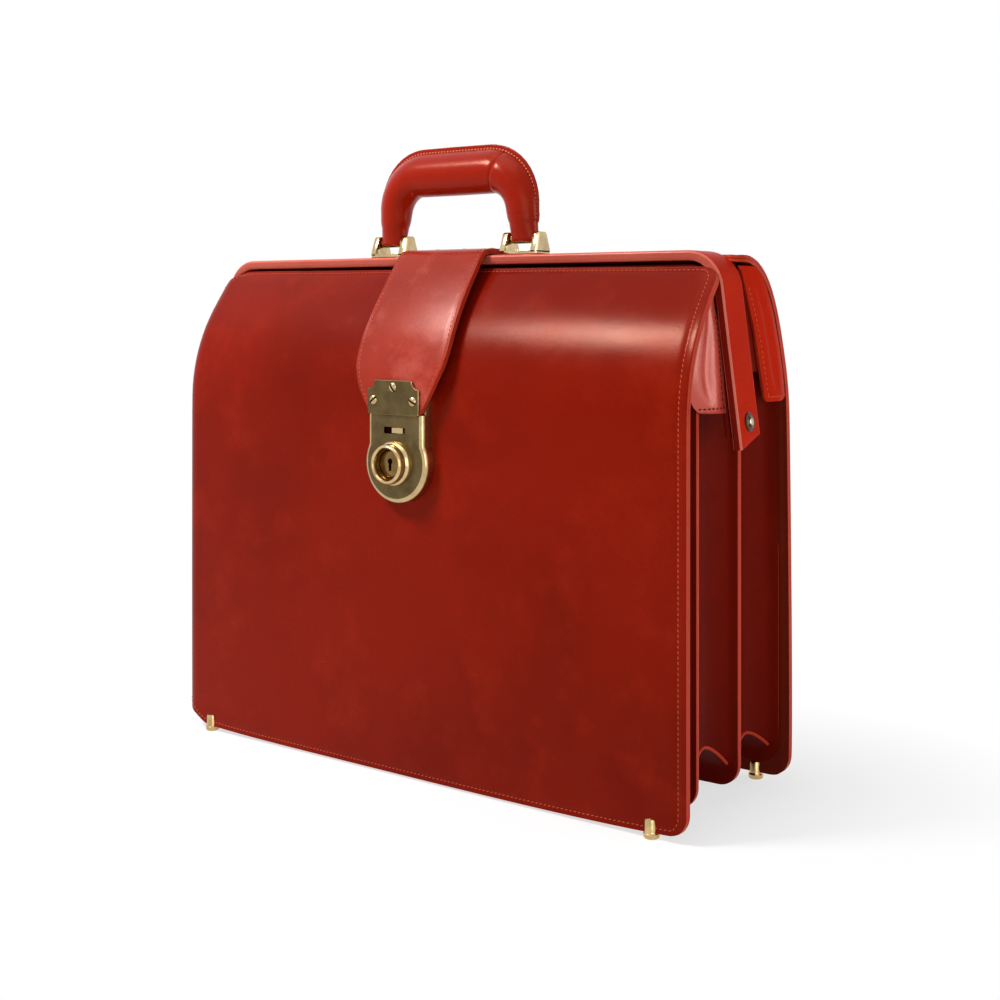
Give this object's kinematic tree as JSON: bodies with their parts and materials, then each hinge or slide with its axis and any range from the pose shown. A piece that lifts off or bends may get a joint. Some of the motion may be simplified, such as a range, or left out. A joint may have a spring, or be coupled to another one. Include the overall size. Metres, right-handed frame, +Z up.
{
  "type": "doctor bag",
  "caption": "Leather doctor bag with a hinged frame mouth, folded side gussets, strap lock and top handle, standing on clip feet; carries papers and instruments.",
  "frame": {"origin": "floor level under the middle of the bounding box", "axes": "+X to the right seen from the front, +Y to the rear, +Z up"},
  "size_m": [0.4586, 0.1668, 0.43],
  "materials": {
    "panel_leather": "glossy dyed hide, cognac red",
    "gusset_leather": "dark red folded hide",
    "ear_leather": "glossy dyed hide with a pale sheen",
    "frame_leather": "glossy hide drawn over a steel bar",
    "jaw_leather": "dark red hide over a steel bar",
    "handle_leather": "glossy hide sewn round a core",
    "strap_leather": "double hide, sewn edges",
    "lining_leather": "natural flesh side",
    "board": "stiffening board",
    "core": "twisted paper cord",
    "steel": "plain strip",
    "bronze": "dark bronze finish",
    "brass": "bright brass",
    "pale_brass": "polished pale brass",
    "antique_brass": "antique brown brass with polished edges"
  },
  "bodies": {
    "body": {"front_panel": "panel_leather", "front_backing": "board", "rear_panel": "panel_leather", "rear_backing": "board", "pocket_divider": "panel_leather", "centre_divider": "panel_leather", "pocket_gusset": "gusset_leather", "front_gusset": "gusset_leather", "rear_gusset": "gusset_leather", "rear_ear_left": "ear_leather", "rear_ear_right": "ear_leather", "frame_core": "steel", "frame_cover": "frame_leather", "pivot_rivets": "bronze", "handle_pins": "brass", "bracket_left": "pale_brass", "bracket_right": "pale_brass", "bracket_screws": "brass", "strap_root": "strap_leather", "root_rivets": "bronze", "lock_case": "antique_brass", "lock_face": "antique_brass", "lock_back": "brass", "lock_screws": "brass", "lock_barrel": "pale_brass", "feet": "pale_brass"},
    "front_jaw": {"jaw_core": "steel", "jaw_cover": "jaw_leather", "front_crown": "panel_leather", "front_ear_left": "ear_leather", "front_ear_right": "ear_leather"},
    "handle": {"handle_grip": "handle_leather", "handle_core": "core", "handle_welt": "handle_leather", "handle_bushes": "brass"},
    "strap": {"strap": "strap_leather", "strap_lining": "lining_leather", "hasp_plate": "antique_brass", "hasp_screws": "pale_brass", "hasp_back": "brass"},
    "key_plug": {"key_plug": "brass"},
    "lock_bolt": {"lock_bolt": "brass"}
  },
  "joints": [
    {"name": "mouth_open", "type": "hinge", "parent": "body", "child": "front_jaw", "pos_m": [0, -0.00487, 0.247], "axis": [1, 0, 0], "range_deg": [0, 35], "deforming": ["front_crown"]},
    {"name": "strap_lift", "type": "hinge", "parent": "body", "child": "strap", "pos_m": [0, -0.00487, 0.3556], "axis": [-1, 0, 0], "range_deg": [0, 60]},
    {"name": "handle_swing", "type": "hinge", "parent": "body", "child": "handle", "pos_m": [0, -0.00487, 0.3645], "axis": [1, 0, 0], "range_deg": [-75, 40]},
    {"name": "key_turn", "type": "hinge", "parent": "body", "child": "key_plug", "pos_m": [0, -0.07888, 0.213], "axis": [0, -1, 0], "range_deg": [0, 90]},
    {"name": "bolt_slide", "type": "slide", "parent": "body", "child": "lock_bolt", "axis": [-1, 0, 0], "range_m": [0, 0.0055]}
  ],
  "couplings": [
    {"joint": "strap_lift", "follows": "mouth_open", "ratio": 1.7}
  ]
}
